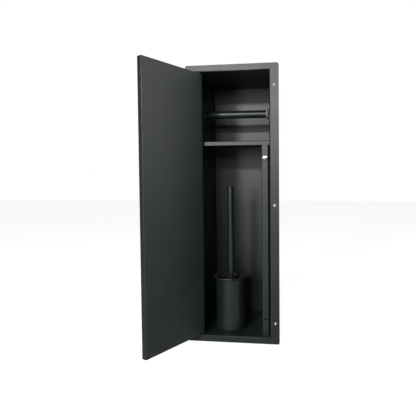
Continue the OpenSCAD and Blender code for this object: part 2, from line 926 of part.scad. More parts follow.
// The bristles and the sleeve that they are moulded on, as one closed surface.
// The sleeve is a grid of bands: every second band along it and round it is a bristle's root.
sleeve_r = core_r + sleeve_t;
row_gap = (head_l - strand_w * strand_rows) / (strand_rows + 1);
col_pitch = 360 / strand_cols;
root_angle = 2 * asin(strand_w / 2 / sleeve_r);
tip_angle = 2 * asin(strand_tip_w / 2 / head_r);
ring_points = 2 * strand_cols;
levels = 2 * strand_rows + 2;
strands = strand_rows * strand_cols;
bore_r = (core_r + set_fit) / cos(180 / ring_points * 1.4);
end_droop = 7;
end_taper = 0.22;

// The bristle row that a level of the grid belongs to, and how far that row is turned
function row_of(level) = floor((level - 1) / 2);
function row_turn(row) = row >= 0 && row < strand_rows && row % 2 == 1 ? col_pitch / 2 : 0;
function level_z(level) = head_top - head_l + floor(level / 2) * (row_gap + strand_w) + (level % 2) * row_gap;
function grid_angle(level, col) =
  row_turn(row_of(level)) + floor(col / 2) * col_pitch + (col % 2) * (col_pitch - root_angle);
// How near a row is to an end of the head: -1 at the lower end, 1 at the upper
function along(row) = 2 * (row + 0.5) / strand_rows - 1;
function tip_reach(row) = head_r * (1 - end_taper * pow(abs(along(row)), 4));
function tip_shift(row) = end_droop * pow(along(row), 3) * (along(row) < 0 ? 1 : 0.3);
function ring_point(r, a, z) = [r * cos(a), r * sin(a), z];

function sleeve_points() =
  [for (level = [0 : levels - 1], col = [0 : ring_points - 1])
    ring_point(sleeve_r, grid_angle(level, col), level_z(level))];
function bore_points() =
  [for (level = [0, levels - 1], col = [0 : ring_points - 1])
    ring_point(bore_r, grid_angle(level, col), level_z(level))];
// Four points at the tip of each bristle, in the order of the root's corners
function tip_points() =
  [for (row = [0 : strand_rows - 1], col = [0 : strand_cols - 1])
    let (
      mid_a = grid_angle(2 * row + 1, 2 * col + 1) + root_angle / 2,
      mid_z = (level_z(2 * row + 1) + level_z(2 * row + 2)) / 2 + tip_shift(row)
    )
    each [for (corner = [[-1, -1], [-1, 1], [1, 1], [1, -1]])
      ring_point(tip_reach(row), mid_a + corner[0] * tip_angle / 2, mid_z + corner[1] * strand_tip_w / 2)]];

function at(level, col) = level * ring_points + col % ring_points;
function bore_at(end, col) = levels * ring_points + end * ring_points + col % ring_points;
function tip_at(row, col, corner) = (levels + 2) * ring_points + 4 * (row * strand_cols + col) + corner;
function root(level, col) = level % 2 == 1 && level < levels - 1 && col % 2 == 1;

function sleeve_faces() =
  [for (level = [0 : levels - 2], col = [0 : ring_points - 1])
    if (!root(level, col)) each [
      [at(level, col), at(level + 1, col), at(level + 1, col + 1)],
      [at(level, col), at(level + 1, col + 1), at(level, col + 1)]
    ]];
function end_faces() =
  [for (col = [0 : ring_points - 1]) each [
    [at(levels - 1, col + 1), at(levels - 1, col), bore_at(1, col), bore_at(1, col + 1)],
    [at(0, col), at(0, col + 1), bore_at(0, col + 1), bore_at(0, col)],
    [bore_at(0, col), bore_at(0, col + 1), bore_at(1, col + 1), bore_at(1, col)]
  ]];
function strand_faces() =
  [for (row = [0 : strand_rows - 1], col = [0 : strand_cols - 1])
    let (
      level = 2 * row + 1,
      c = 2 * col + 1,
      foot = [at(level, c), at(level + 1, c), at(level + 1, c + 1), at(level, c + 1)]
    )
    each concat(
      [for (i = [0 : 3])
        [foot[i], foot[(i + 1) % 4], tip_at(row, col, (i + 1) % 4), tip_at(row, col, i)]],
      [[for (i = [0 : 3]) tip_at(row, col, i)]]
    )];

module brush_bristles() {
  color(RUBBER)
    on_cup_axis()
      polyhedron(
        points = concat(sleeve_points(), bore_points(), tip_points()),
        faces = concat(sleeve_faces(), end_faces(), strand_faces())
      );
}

front_frame();
side_wrap();
ceiling_panel();
floor_panel();
shelf();
shelf_rivets();
latch_post();
post_foot_screw();
post_foot_nut();
top_pivot_bracket();
bottom_pivot_bracket();
top_pivot_bush();
bottom_pivot_bush();
pivot_washer();
latch_barrel();
latch_clip();
latch_end_cap();
latch_spring();
latch_plunger();
plunger_magnet();
bar_stud();
stud_screw();
stud_magnet();
roll_bar();
bar_bushing();
bar_end_disc();
door_tray();
door_front_panel();
door_core();
top_pivot_block();
bottom_pivot_block();
top_pivot_pin();
bottom_pivot_pin();
cup_shell();
cup_liner();
cup_foot_ring();
brush_handle();
handle_cap();
brush_ferrule();
brush_core();
brush_bristles();
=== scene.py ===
import math

import bmesh
import bpy
from mathutils import Matrix, Vector


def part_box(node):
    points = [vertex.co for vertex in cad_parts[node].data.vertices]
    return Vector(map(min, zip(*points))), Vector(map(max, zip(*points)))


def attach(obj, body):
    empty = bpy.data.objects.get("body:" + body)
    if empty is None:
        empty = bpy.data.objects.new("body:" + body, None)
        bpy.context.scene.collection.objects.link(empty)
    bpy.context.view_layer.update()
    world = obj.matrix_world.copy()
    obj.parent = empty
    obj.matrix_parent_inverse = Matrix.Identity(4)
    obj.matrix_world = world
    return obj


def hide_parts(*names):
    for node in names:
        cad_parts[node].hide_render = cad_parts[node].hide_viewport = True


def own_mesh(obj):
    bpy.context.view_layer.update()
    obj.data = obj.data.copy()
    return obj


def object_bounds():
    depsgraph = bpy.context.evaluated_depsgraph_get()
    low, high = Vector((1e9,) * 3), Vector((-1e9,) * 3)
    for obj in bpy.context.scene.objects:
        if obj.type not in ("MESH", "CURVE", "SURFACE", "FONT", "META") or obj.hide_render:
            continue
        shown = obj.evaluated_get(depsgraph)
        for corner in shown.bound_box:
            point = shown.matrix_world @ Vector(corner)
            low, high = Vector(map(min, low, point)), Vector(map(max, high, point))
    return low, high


bl_info = {
    "name": "Recessed Bathroom Niche",
    "version": (1, 0, 0),
    "blender": (4, 5, 0),
    "location": "3D View > Sidebar > Niche",
    "description": "Finishes, bristles, lights and camera for a recessed bathroom niche",
    "category": "Object",
}

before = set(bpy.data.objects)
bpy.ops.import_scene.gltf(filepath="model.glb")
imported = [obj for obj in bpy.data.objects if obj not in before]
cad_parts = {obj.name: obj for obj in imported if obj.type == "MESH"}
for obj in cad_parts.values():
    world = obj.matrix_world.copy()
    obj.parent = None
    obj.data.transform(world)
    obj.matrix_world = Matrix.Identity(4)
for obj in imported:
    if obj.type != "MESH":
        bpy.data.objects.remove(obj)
CAD_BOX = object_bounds()
MM = 0.001
WELD = 1e-6

# Nodes that share one finish
COATED_INSIDE = ("side_wrap", "ceiling_panel", "floor_panel", "top_pivot_bracket", "bottom_pivot_bracket")
BRIGHT_STEEL = (
    "latch_clip", "bar_stud", "top_pivot_block", "bottom_pivot_block",
    "top_pivot_pin", "bottom_pivot_pin",
)
ZINC_PLATED = ("post_foot_screw", "post_foot_nut", "stud_screw")
NICKEL_PLATED = ("plunger_magnet", "stud_magnet")
BLACK_MOULDINGS = ("brush_ferrule", "brush_core", "bar_bushing", "latch_end_cap", "top_pivot_bush",
                   "bottom_pivot_bush", "pivot_washer")

DUST_COLOUR = (0.2, 0.19, 0.175)

# Facets of a turned piece, of one of its rounded corners, and the angle past which an edge stays sharp
TURNED_SIDES = 96
CORNER_STEPS = 4
SHARP_EDGE = math.radians(40)

# The corners of a rectangle round the origin, anticlockwise
QUARTERS = ((1, 1), (-1, 1), (-1, -1), (1, -1))


class NicheSheet(bpy.types.PropertyGroup):
    side: bpy.props.FloatProperty(
        name="Flange Side", description="Width of the flange beside the opening",
        subtype="DISTANCE", unit="LENGTH", default=0.02275)
    end: bpy.props.FloatProperty(
        name="Flange End", description="Height of the flange above and below the opening",
        subtype="DISTANCE", unit="LENGTH", default=0.016)
    thickness: bpy.props.FloatProperty(
        name="Sheet", description="Thickness of the flange's sheet",
        subtype="DISTANCE", unit="LENGTH", min=0.0008, default=0.0015)
    roll: bpy.props.FloatProperty(
        name="Rolled Edge", description="Outer radius of the rolled edge round the opening",
        subtype="DISTANCE", unit="LENGTH", default=0.004)
    corner: bpy.props.FloatProperty(
        name="Flange Corner", description="Radius of the flange's outer corners",
        subtype="DISTANCE", unit="LENGTH", default=0.005)
    soft: bpy.props.FloatProperty(
        name="Cut Edge", description="Radius that the coat gives to a cut sheet edge",
        subtype="DISTANCE", unit="LENGTH", min=0.0001, max=0.0006, default=0.0003)
    hole: bpy.props.FloatProperty(
        name="Screw Hole", description="Diameter of each screw hole",
        subtype="DISTANCE", unit="LENGTH", default=0.0063)
    hole_in: bpy.props.FloatProperty(
        name="Hole Inset", description="Distance of the hole columns from the flange's outer edge",
        subtype="DISTANCE", unit="LENGTH", default=0.011)
    hole_end: bpy.props.FloatProperty(
        name="Hole End Inset", description="Distance of the end holes from the flange's ends",
        subtype="DISTANCE", unit="LENGTH", default=0.05)


class NicheCup(bpy.types.PropertyGroup):
    wall: bpy.props.FloatProperty(
        name="Cup Wall", description="Thickness of the brush cup's wall",
        subtype="DISTANCE", unit="LENGTH", default=0.0015)
    liner: bpy.props.FloatProperty(
        name="Liner Wall", description="Thickness of the plastic liner",
        subtype="DISTANCE", unit="LENGTH", default=0.0016)
    gap: bpy.props.FloatProperty(
        name="Liner Gap", description="Clearance between the liner and the cup",
        subtype="DISTANCE", unit="LENGTH", default=0.0002)
    rim: bpy.props.FloatProperty(
        name="Collar Thickness", description="Thickness of the flared collar",
        subtype="DISTANCE", unit="LENGTH", default=0.0018)
    flare: bpy.props.FloatProperty(
        name="Collar Flare", description="Angle through which the collar turns outwards",
        subtype="ANGLE", unit="ROTATION", default=math.radians(75))
    tube: bpy.props.FloatProperty(
        name="Handle Wall", description="Wall of the handle's tube",
        subtype="DISTANCE", unit="LENGTH", default=0.0012)


class NicheCoat(bpy.types.PropertyGroup):
    colour: bpy.props.FloatVectorProperty(
        name="Coat Colour", description="Colour of the black powder coat",
        subtype="COLOR", size=3, min=0.0, max=1.0, default=(0.0110, 0.0165, 0.0158))
    roughness: bpy.props.FloatProperty(
        name="Coat Roughness", description="Gloss of the coat, lower is shinier",
        subtype="FACTOR", min=0.05, max=1.0, default=0.40)
    grain: bpy.props.FloatProperty(
        name="Grain Size",
        description="Distance between the bumps of the coat's texture, in millimetres",
        min=0.2, max=4.0, default=0.9)
    relief: bpy.props.FloatProperty(
        name="Grain Relief", description="Height of the coat's bumps, in millimetres",
        min=0.0, max=0.1, default=0.012)
    outside: bpy.props.FloatProperty(
        name="Outside Roughness",
        description="Gloss of the smooth coat on the box's outside, inside the wall",
        subtype="FACTOR", min=0.05, max=1.0, default=0.12)


class NicheBristles(bpy.types.PropertyGroup):
    turns: bpy.props.IntProperty(
        name="Turns", description="Turns of the spiral along which the tufts are set",
        min=6, max=40, default=19)
    tufts: bpy.props.IntProperty(
        name="Tufts", description="Number of tufts on the head", min=50, max=800, default=400)
    strands: bpy.props.IntProperty(
        name="Strands per Tuft", description="Bristles in one tuft", min=3, max=20, default=9)
    thickness: bpy.props.FloatProperty(
        name="Strand Thickness", description="Thickness of one bristle",
        subtype="DISTANCE", unit="LENGTH", min=0.0002, max=0.001, default=0.00045)
    splay: bpy.props.FloatProperty(
        name="Splay", description="How far a tuft's strands spread",
        subtype="ANGLE", unit="ROTATION", min=0.0, max=0.6, default=0.13)
    seed: bpy.props.IntProperty(
        name="Seed", description="Chooses the pattern of stray strands", min=0, default=7)


class NicheLight(bpy.types.PropertyGroup):
    key: bpy.props.FloatProperty(
        name="Key Power", description="Power of the long strip lamp in front, on the left",
        subtype="POWER", unit="POWER", min=0.0, default=21.5)
    front: bpy.props.FloatProperty(
        name="Front Power", description="Power of the strip lamp straight in front",
        subtype="POWER", unit="POWER", min=0.0, default=12.0)
    low: bpy.props.FloatProperty(
        name="Low Power", description="Power of the lower lamp in front, whose light reaches under the shelf",
        subtype="POWER", unit="POWER", min=0.0, default=6.5)
    corner: bpy.props.FloatProperty(
        name="Corner Power", description="Power of the lower lamp on the left",
        subtype="POWER", unit="POWER", min=0.0, default=9.5)
    fill: bpy.props.FloatProperty(
        name="Fill Power", description="Power of the large soft lamp on the right, which lights the door",
        subtype="POWER", unit="POWER", min=0.0, default=15.0)
    distance: bpy.props.FloatProperty(
        name="Light Distance", description="Distance of every lamp from the middle of the niche",
        subtype="DISTANCE", unit="LENGTH", default=2.4)
    height: bpy.props.FloatProperty(
        name="Strip Angle", description="Angle above the niche at which the strip lamps hang",
        subtype="ANGLE", unit="ROTATION", default=math.radians(19.4))
    behind: bpy.props.FloatProperty(
        name="Wall Behind", description="Brightness of the white wall behind, as coat and metal mirror it",
        subtype="FACTOR", min=0.0, max=1.0, default=1.0)
    room: bpy.props.FloatProperty(
        name="Room", description="Brightness of the room in front of the niche",
        subtype="FACTOR", min=0.0, max=1.0, default=0.01)
    ground: bpy.props.FloatProperty(
        name="Floor Shine", description="Brightness of the floor, as coat and metal mirror it",
        subtype="FACTOR", min=0.0, max=1.0, default=0.05)


class NicheCamera(bpy.types.PropertyGroup):
    at: bpy.props.FloatVectorProperty(
        name="Position", description="Where the camera stands",
        subtype="TRANSLATION", unit="LENGTH", size=3, default=(0.20207, -0.88022, 0.06198))
    turn: bpy.props.FloatVectorProperty(
        name="Rotation", description="How the camera is turned",
        subtype="EULER", unit="ROTATION", size=3,
        default=(math.radians(87.869), math.radians(0.2636), math.radians(6.9764)))
    lens: bpy.props.FloatProperty(
        name="Focal Length", description="Focal length for a 36 mm sensor, in millimetres", default=32.967)
    shift: bpy.props.FloatVectorProperty(
        name="Shift", description="Shift of the picture, as a share of its width",
        size=2, default=(-0.1534, -0.0363))


def settings():
    return bpy.context.scene


# Shader groups


def feed(tree, socket, value):
    """Links another node's output to a socket, or sets the socket to a plain value."""
    if isinstance(value, bpy.types.NodeSocket):
        tree.links.new(value, socket)
    else:
        socket.default_value = value


def group_sockets(name, inputs, outputs):
    """A new shader group with its inputs, each with its kind, and its outputs, which are plain values."""
    tree = bpy.data.node_groups.new(name, "ShaderNodeTree")
    for label, kind in inputs:
        tree.interface.new_socket(label, in_out="INPUT", socket_type=kind)
    for label in outputs:
        tree.interface.new_socket(label, in_out="OUTPUT", socket_type="NodeSocketFloat")
    return tree, tree.nodes.new("NodeGroupInput").outputs, tree.nodes.new("NodeGroupOutput").inputs


def split(tree, vector):
    """The X, Y and Z of a vector."""
    node = tree.nodes.new("ShaderNodeSeparateXYZ")
    tree.links.new(vector, node.inputs[0])
    return node.outputs


def noise(tree, place, scale, detail, rough):
    node = tree.nodes.new("ShaderNodeTexNoise")
    for label, value in (("Vector", place), ("Scale", scale), ("Detail", detail), ("Roughness", rough)):
        feed(tree, node.inputs[label], value)
    return node.outputs["Fac"]


def ranged(tree, value, low, high, to_low=0.0, to_high=1.0):
    """value, eased from the range low to high into the range to_low to to_high."""
    node = tree.nodes.new("ShaderNodeMapRange")
    node.interpolation_type = "SMOOTHSTEP"
    labels = ("Value", "From Min", "From Max", "To Min", "To Max")
    for label, number in zip(labels, (value, low, high, to_low, to_high)):
        feed(tree, node.inputs[label], number)
    return node.outputs["Result"]


def blended(tree, factor, colour_a, colour_b):
    node = tree.nodes.new("ShaderNodeMix")
    node.data_type = "RGBA"
    feed(tree, node.inputs["Factor"], factor)
    for socket, colour in ((node.inputs[6], colour_a), (node.inputs[7], colour_b)):
        feed(tree, socket, colour if isinstance(colour, bpy.types.NodeSocket) else (*colour, 1.0))
    return node.outputs[2]


def mixed(tree, factor, a, b):
    node = tree.nodes.new("ShaderNodeMix")
    for socket, value in ((node.inputs["Factor"], factor), (node.inputs[2], a), (node.inputs[3], b)):
        feed(tree, socket, value)
    return node.outputs[0]


def worked(tree, operation, *values):
    node = tree.nodes.new("ShaderNodeMath")
    node.operation = operation
    for socket, value in zip(node.inputs, values):
        feed(tree, socket, value)
    return node.outputs[0]


def build_coat_grain():
    """Orange peel of a sprayed coat: a height, and how the gloss and tone drift over a panel."""
    tree, given, out = group_sockets(
        "Coat Grain", (("Vector", "NodeSocketVector"), ("Bumps per Metre", "NodeSocketFloat")),
        ("Height", "Drift", "Speck"))
    fineness, fine_share, clouds_per_metre = 3.1, 0.35, 14.0
    place, bumps = given["Vector"], given["Bumps per Metre"]
    peel = noise(tree, place, bumps, detail=2.0, rough=0.55)
    fine = noise(tree, place, worked(tree, "MULTIPLY", bumps, fineness), detail=1.0, rough=0.5)
    drift = noise(tree, place, clouds_per_metre, detail=3.0, rough=0.6)
    height = worked(tree, "ADD", peel, worked(tree, "MULTIPLY", fine, fine_share))
    tree.links.new(height, out["Height"])
    tree.links.new(ranged(tree, drift, 0.3, 0.7), out["Drift"])
    tree.links.new(ranged(tree, fine, 0.62, 0.74), out["Speck"])


def build_dust():
    """A thin film of dust that gathers on whatever faces up."""
    tree, given, out = group_sockets(
        "Settled Dust", (("Vector", "NodeSocketVector"), ("Amount", "NodeSocketFloat")), ("Mask",))
    lies_from, clouds_per_metre, thinnest = 0.75, 60.0, 0.2
    normal = tree.nodes.new("ShaderNodeNewGeometry").outputs["Normal"]
    up = ranged(tree, split(tree, normal)["Z"], lies_from, 1.0)
    cloud = noise(tree, given["Vector"], clouds_per_metre, detail=5.0, rough=0.65)
    patch = ranged(tree, cloud, 0.35, 0.75, to_low=thinnest)
    film = worked(tree, "MULTIPLY", worked(tree, "MULTIPLY", up, patch), given["Amount"])
    tree.links.new(film, out["Mask"])


def build_drawn_lines():
    """Fine drawn lines, so many per metre along each axis, for plated and ground steel and for fibres."""
    tree, given, out = group_sockets(
        "Drawn Lines", (("Vector", "NodeSocketVector"), ("Lines", "NodeSocketVector")), ("Height", "Tone"))
    stretch = tree.nodes.new("ShaderNodeVectorMath")
    stretch.operation = "MULTIPLY"
    tree.links.new(given["Vector"], stretch.inputs[0])
    tree.links.new(given["Lines"], stretch.inputs[1])
    lines = noise(tree, stretch.outputs[0], 1.0, detail=3.0, rough=0.6)
    tree.links.new(lines, out["Height"])
    tree.links.new(ranged(tree, lines, 0.3, 0.7), out["Tone"])


# Materials


def start_material(name):
    material = bpy.data.materials.new(name)
    material.use_nodes = True
    tree = material.node_tree
    place = tree.nodes.new("ShaderNodeTexCoord").outputs["Object"]
    return material, tree, tree.nodes["Principled BSDF"].inputs, place


def use_group(tree, name, place, **values):
    node = tree.nodes.new("ShaderNodeGroup")
    node.node_tree = bpy.data.node_groups[name]
    for label, value in {"Vector": place, **values}.items():
        feed(tree, node.inputs[label.replace("_", " ")], value)
    return node.outputs


def bump(tree, shader, height, depth):
    """Bumps of so many metres' depth."""
    node = tree.nodes.new("ShaderNodeBump")
    node.inputs["Distance"].default_value = depth
    tree.links.new(height, node.inputs["Height"])
    tree.links.new(node.outputs["Normal"], shader["Normal"])


def toned(colour, factor):
    """A lighter or darker tone of a colour."""
    return [min(1.0, c * factor) for c in colour]


def box_outside(tree, place):
    """1 on the faces of the folded box that lie inside the wall, 0 on those that are seen from the room."""
    half = settings().niche_sheet.thickness / 2
    blur = 0.2
    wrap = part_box("side_wrap")[1]
    parts = split(tree, place)
    mask = 0.0
    for axis, reach in (("X", wrap.x), ("Y", wrap.y), ("Z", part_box("ceiling_panel")[1].z)):
        along = worked(tree, "ABSOLUTE", parts[axis])
        outer = ranged(tree, along, reach - half * (1 + blur), reach - half * (1 - blur))
        mask = worked(tree, "MAXIMUM", mask, outer)
    return mask


def coated(name, shade, gloss_shift, dust, boxed=False, relief=1.0):
    """The black powder coat. shade, gloss_shift and relief change its tone, roughness and bumps."""
    coat = settings().niche_coat
    tone_drift, gloss_drift, dust_dulls = 0.12, 0.012, 0.5
    speck_tone, speck_share = 1.9, 0.35
    material, tree, shader, place = start_material(name)
    grain = use_group(tree, "Coat Grain", place, Bumps_per_Metre=1000.0 / coat.grain)
    film = use_group(tree, "Settled Dust", place, Amount=dust)["Mask"]
    colour = toned(coat.colour, shade)
    paint = blended(tree, grain["Drift"], toned(colour, 1 - tone_drift), toned(colour, 1 + tone_drift))
    specks = worked(tree, "MULTIPLY", grain["Speck"], speck_share)
    paint = blended(tree, specks, paint, toned(colour, speck_tone))
    tree.links.new(blended(tree, film, paint, DUST_COLOUR), shader["Base Color"])
    rough = coat.roughness + gloss_shift
    gloss = ranged(tree, grain["Drift"], 0.0, 1.0, rough - gloss_drift, rough + gloss_drift)
    gloss = worked(tree, "ADD", gloss, worked(tree, "MULTIPLY", film, dust_dulls))
    if boxed:
        gloss = mixed(tree, box_outside(tree, place), gloss, coat.outside)
    tree.links.new(gloss, shader["Roughness"])
    bump(tree, shader, grain["Height"], coat.relief * relief * MM)
    return material


def plated(name, colour, rough, lines):
    """Plated or ground metal with so many drawn lines per metre along each axis."""
    bumps_per_metre, line_depth = 700.0, 0.004 * MM
    dark, light, cloudy, cloud_share = 0.9, 1.08, 0.8, 0.25
    smoother, rougher = 0.8, 1.25
    material, tree, shader, place = start_material(name)
    drawn = use_group(tree, "Drawn Lines", place, Lines=lines)
    grain = use_group(tree, "Coat Grain", place, Bumps_per_Metre=bumps_per_metre)
    tone = blended(tree, drawn["Tone"], toned(colour, dark), toned(colour, light))
    clouds = worked(tree, "MULTIPLY", grain["Drift"], cloud_share)
    tree.links.new(blended(tree, clouds, tone, toned(colour, cloudy)), shader["Base Color"])
    gloss = ranged(tree, drawn["Tone"], 0.0, 1.0, rough * smoother, rough * rougher)
    tree.links.new(gloss, shader["Roughness"])
    shader["Metallic"].default_value = 1.0
    bump(tree, shader, drawn["Height"], line_depth)
    return material


def moulded(name, colour, rough, relief, bumps, dust=0.0):
    """Plastic or rubber with bumps of relief millimetres, so many per metre."""
    tone_drift, gloss_drift = 0.12, 0.04
    material, tree, shader, place = start_material(name)
    grain = use_group(tree, "Coat Grain", place, Bumps_per_Metre=bumps)
    film = use_group(tree, "Settled Dust", place, Amount=dust)["Mask"]
    tone = blended(tree, grain["Drift"], toned(colour, 1 - tone_drift), toned(colour, 1 + tone_drift))
    tree.links.new(blended(tree, film, tone, DUST_COLOUR), shader["Base Color"])
    gloss = ranged(tree, grain["Drift"], 0.0, 1.0, rough - gloss_drift, rough + gloss_drift)
    tree.links.new(gloss, shader["Roughness"])
    bump(tree, shader, grain["Height"], relief * MM)
    return material


def bristle_material():
    """Black nylon whose tone and gloss drift over the head."""
    bumps_per_metre, smoother, rougher = 350.0, 0.34, 0.5
    material, tree, shader, place = start_material("bristle_nylon")
    drift = use_group(tree, "Coat Grain", place, Bumps_per_Metre=bumps_per_metre)["Drift"]
    tree.links.new(blended(tree, drift, (0.010, 0.010, 0.0105), (0.030, 0.030, 0.031)), shader["Base Color"])
    tree.links.new(ranged(tree, drift, 0.0, 1.0, smoother, rougher), shader["Roughness"])
    return material


def board_material():
    """The fibre board inside the door."""
    lines, depth = (900.0, 900.0, 60.0), 0.05 * MM
    material, tree, shader, place = start_material("core_board")
    fibres = use_group(tree, "Drawn Lines", place, Lines=lines)
    tone = blended(tree, fibres["Tone"], (0.36, 0.29, 0.2), (0.52, 0.44, 0.33))
    tree.links.new(tone, shader["Base Color"])
    shader["Roughness"].default_value = 0.85
    bump(tree, shader, fibres["Height"], depth)
    return material


def paint_nodes(material, names):
    for name in names:
        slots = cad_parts[name].data.materials
        slots.clear()
        slots.append(material)


# Mesh helpers


def add_object(name, data):
    """Puts a new object in the scene, at the origin."""
    made = bpy.data.objects.new(name, data)
    bpy.context.scene.collection.objects.link(made)
    return made


def evaluated_mesh(piece):
    bpy.context.view_layer.update()
    graph = bpy.context.evaluated_depsgraph_get()
    return bpy.data.meshes.new_from_object(piece.evaluated_get(graph), depsgraph=graph)


def soften_edges(piece, radius):
    """Rounds the edges of a sheet, but not its bends, whose facets meet at less than the limit."""
    edge = piece.modifiers.new("edge radius", "BEVEL")
    edge.limit_method = "ANGLE"
    edge.angle_limit = math.radians(35)
    edge.width = radius
    edge.segments = 3
    edge.use_clamp_overlap = False


def even_normals(piece):
    """Broad faces keep their own normal, and the narrow faces of folds and edges turn between them."""
    piece.data.set_sharp_from_angle(angle=SHARP_EDGE)
    weigh = piece.modifiers.new("flat faces", "WEIGHTED_NORMAL")
    weigh.mode = "FACE_AREA"
    weigh.weight = 100
    weigh.keep_sharp = True
    made = evaluated_mesh(piece)
    piece.modifiers.clear()
    piece.data = made


def new_piece(name, shell, material, body, node, radius=0.0):
    """Turns finished mesh data into a piece that rides on a body and stands for a node."""
    bmesh.ops.recalc_face_normals(shell, faces=shell.faces)
    mesh = bpy.data.meshes.new(name)
    shell.to_mesh(mesh)
    shell.free()
    mesh.materials.append(material)
    piece = add_object(name, mesh)
    if radius:
        soften_edges(piece, radius)
    even_normals(piece)
    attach(piece, body)
    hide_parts(node)
    return piece


def ring_of(shell, count, place):
    """Points at place(angle), at even steps round a full turn."""
    return [shell.verts.new(place(math.tau * k / count)) for k in range(count)]


def stitch(shell, rings):
    """Smooth faces between neighbouring rings. A ring that is one point many times over makes a pole."""
    for lower, upper in zip(rings, rings[1:]):
        for k in range(len(lower)):
            n = (k + 1) % len(lower)
            corners = list(dict.fromkeys((lower[k], lower[n], upper[n], upper[k])))
            if len(corners) > 2:
                shell.faces.new(corners).smooth = True


def fill_flat(shell, rings):
    """A flat skin inside the first ring, less the holes that the others make."""
    edges = [shell.edges.get(pair) for ring in rings for pair in zip(ring, ring[1:] + ring[:1])]
    bmesh.ops.triangle_fill(shell, use_beauty=True, use_dissolve=False, edges=edges)


def round_corners(points, closed):
    """A line of (a, b, radius) points with an arc of that radius at each of its corners."""
    line = []
    last = len(points) - 1
    for i, (a, b, radius) in enumerate(points):
        here = Vector((a, b))
        if radius <= 0 or (not closed and i in (0, last)):
            line.append(here)
            continue
        back = (Vector(points[i - 1][:2]) - here).normalized()
        on = (Vector(points[(i + 1) % len(points)][:2]) - here).normalized()
        half = back.angle(on) / 2
        centre = here + (back + on).normalized() * (radius / math.sin(half))
        start = here + back * (radius / math.tan(half)) - centre
        end = here + on * (radius / math.tan(half)) - centre
        sweep = math.atan2(start.x * end.y - start.y * end.x, start.dot(end))
        for k in range(CORNER_STEPS + 1):
            turn = sweep * k / CORNER_STEPS
            line.append(centre + Vector((start.x * math.cos(turn) - start.y * math.sin(turn),
                                         start.x * math.sin(turn) + start.y * math.cos(turn))))
    return line


def turned(name, points, centre, axis, material, body, node, closed=True):
    """A turned piece: a section of (radius, place along the axis, corner radius), swept round the axis."""
    shell = bmesh.new()

    def spot(r, along, turn):
        u, v = centre[0] + r * math.cos(turn), centre[1] + r * math.sin(turn)
        return (along, u, v) if axis == "X" else (u, v, along)

    rings = []
    for r, along in round_corners(points, closed):
        if r < WELD:
            rings.append([shell.verts.new(spot(0.0, along, 0.0))] * TURNED_SIDES)
        else:
            rings.append(ring_of(shell, TURNED_SIDES, lambda turn: spot(r, along, turn)))
    if closed:
        rings.append(rings[0])
    stitch(shell, rings)
    new_piece(name, shell, material, body, node)


def welded(node):
    """The mesh of a CAD node, with its loose triangles joined."""
    shell = bmesh.new()
    shell.from_mesh(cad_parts[node].data)
    bmesh.ops.remove_doubles(shell, verts=shell.verts, dist=WELD)
    return shell


def flat_groups(shell):
    """The faces of a mesh in groups of neighbours that share one plane."""
    limit, no_normal = math.radians(0.5), math.pi
    groups = []
    todo = set(shell.faces)
    for seed in shell.faces:
        if seed not in todo:
            continue
        todo.discard(seed)
        group, waiting = [seed], [seed]
        while waiting:
            for edge in waiting.pop().edges:
                for other in edge.link_faces:
                    if other in todo and other.normal.angle(seed.normal, no_normal) < limit:
                        todo.discard(other)
                        group.append(other)
                        waiting.append(other)
        groups.append(group)
    return groups


def is_one_loop(edges):
    """True where a group's border is a single loop, so that the group has no hole."""
    start = next(iter(edges)).verts[0]
    seen, walk = {start}, [start]
    while walk:
        vert = walk.pop()
        for edge in vert.link_edges:
            other = edge.other_vert(vert)
            if edge in edges and other not in seen:
                seen.add(other)
                walk.append(other)
    return len(seen) == len({vert for edge in edges for vert in edge.verts}) == len(edges)


def whole_planes(shell):
    """Joins the triangles of each flat face into one face. A flat face with a hole in it stays in parts."""
    for group in flat_groups(shell):
        if len(group) < 2:
            continue
        inside = set(group)
        border = {edge for face in group for edge in face.edges
                  if sum(neighbour in inside for neighbour in edge.link_faces) == 1}
        if is_one_loop(border):
            bmesh.utils.face_join(group)
        else:
            bmesh.ops.join_triangles(
                shell, faces=group, angle_face_threshold=0.02, angle_shape_threshold=math.pi)


def softened(name, node, body, radius, material):
    """A copy of a folded sheet piece whose cut edges are rounded, as coated metal has them."""
    shell = welded(node)
    whole_planes(shell)
    new_piece(name, shell, material, body, node, radius)


# Bristles as geometry nodes


